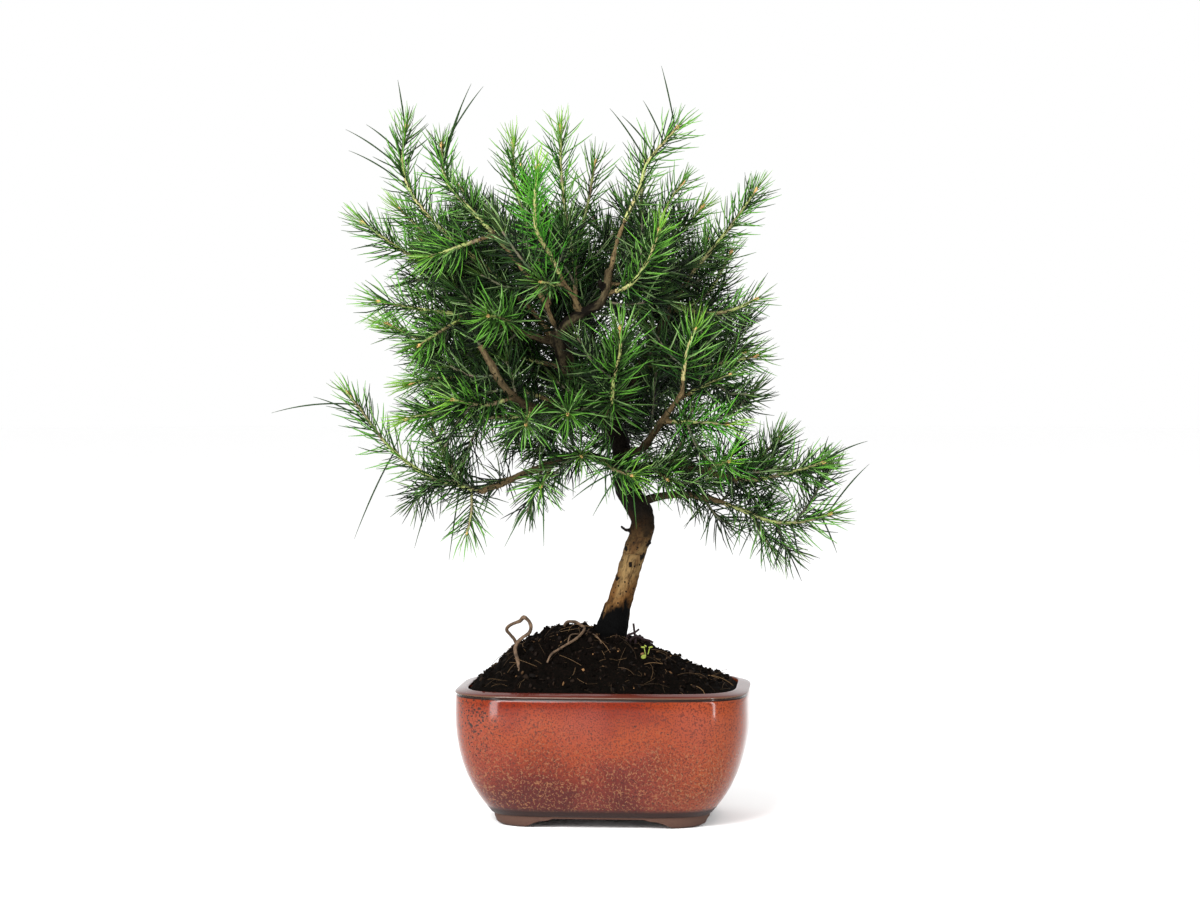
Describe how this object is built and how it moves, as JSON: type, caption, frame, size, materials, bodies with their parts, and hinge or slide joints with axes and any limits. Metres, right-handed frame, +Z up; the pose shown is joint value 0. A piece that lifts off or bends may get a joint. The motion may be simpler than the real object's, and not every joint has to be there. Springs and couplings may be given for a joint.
{
  "type": "aleppo pine bonsai",
  "caption": "Small pine bonsai with an angled trunk, needled shoots all round and a hill of soil, standing in a glazed oblong pot on feet.",
  "frame": {"origin": "on the ground below the middle of the whole object's box", "axes": "+Z up, +X along the pot's long side, -Y towards the front"},
  "size_m": [0.3952, 0.258, 0.502],
  "materials": {
    "glaze": "glossy copper-orange reduction glaze, brick red below, with tan crackle and dark pits",
    "peat": "loose black peat with fibres, matt",
    "bark": "thin grey-tan bark, matt, dark with soil at the foot",
    "old_root": "dry pale root, matt",
    "dead_wood": "dead dark twig, matt",
    "sprout": "pale yellow-green seedling, satin",
    "mature_needles": "dark green needles, satin",
    "fresh_needles": "mid green needles, satin",
    "new_needles": "bright yellow-green new needles, satin"
  },
  "bodies": {
    "root": {"pot": "glaze", "soil": "peat", "wood": "bark", "loop_root": "old_root", "front_root": "old_root", "dead_twig": "dead_wood", "seedling": "sprout", "leader": "mature_needles", "bright_shoot": "new_needles", "upper_left_outer": "mature_needles", "upper_left_inner": "mature_needles", "left_upper": "mature_needles", "left_top_back": "fresh_needles", "left_middle": "mature_needles", "left_low_middle": "fresh_needles", "left_lower": "fresh_needles", "left_edge": "fresh_needles", "lower_left_branch": "mature_needles", "lower_right_branch": "mature_needles", "right_middle": "mature_needles", "yellow_stem_shoot": "fresh_needles", "diagonal_shoot": "mature_needles", "right_inner_shoot": "mature_needles", "right_top_shoot": "fresh_needles", "cream_shoot": "mature_needles", "front_right_small": "fresh_needles", "top_left_centre": "fresh_needles", "top_centre": "fresh_needles", "top_right_centre": "mature_needles", "front_rosette_left": "mature_needles", "front_rosette_top": "mature_needles", "front_rosette_low_left": "mature_needles", "front_rosette_low": "mature_needles", "front_rosette_under": "mature_needles", "trunk_rosette": "fresh_needles", "front_rosette_right": "mature_needles", "low_rosette_left": "fresh_needles", "centre_rosette": "mature_needles", "right_rosette_high": "new_needles", "right_rosette_low": "new_needles", "right_front_shoot": "mature_needles", "left_front_upper": "fresh_needles", "left_front_low": "mature_needles", "left_front_under": "fresh_needles", "right_outer_high": "mature_needles", "right_outer_low": "mature_needles", "back_top_left": "mature_needles", "back_upper_left": "mature_needles", "back_left_high": "mature_needles", "back_left_middle": "mature_needles", "back_left_low": "mature_needles", "back_left_under": "fresh_needles", "back_high": "fresh_needles", "back_middle": "mature_needles", "back_low": "mature_needles", "back_right_high": "mature_needles", "back_right_middle": "fresh_needles", "back_right_low": "mature_needles", "back_right_top": "mature_needles"}
  },
  "joints": []
}
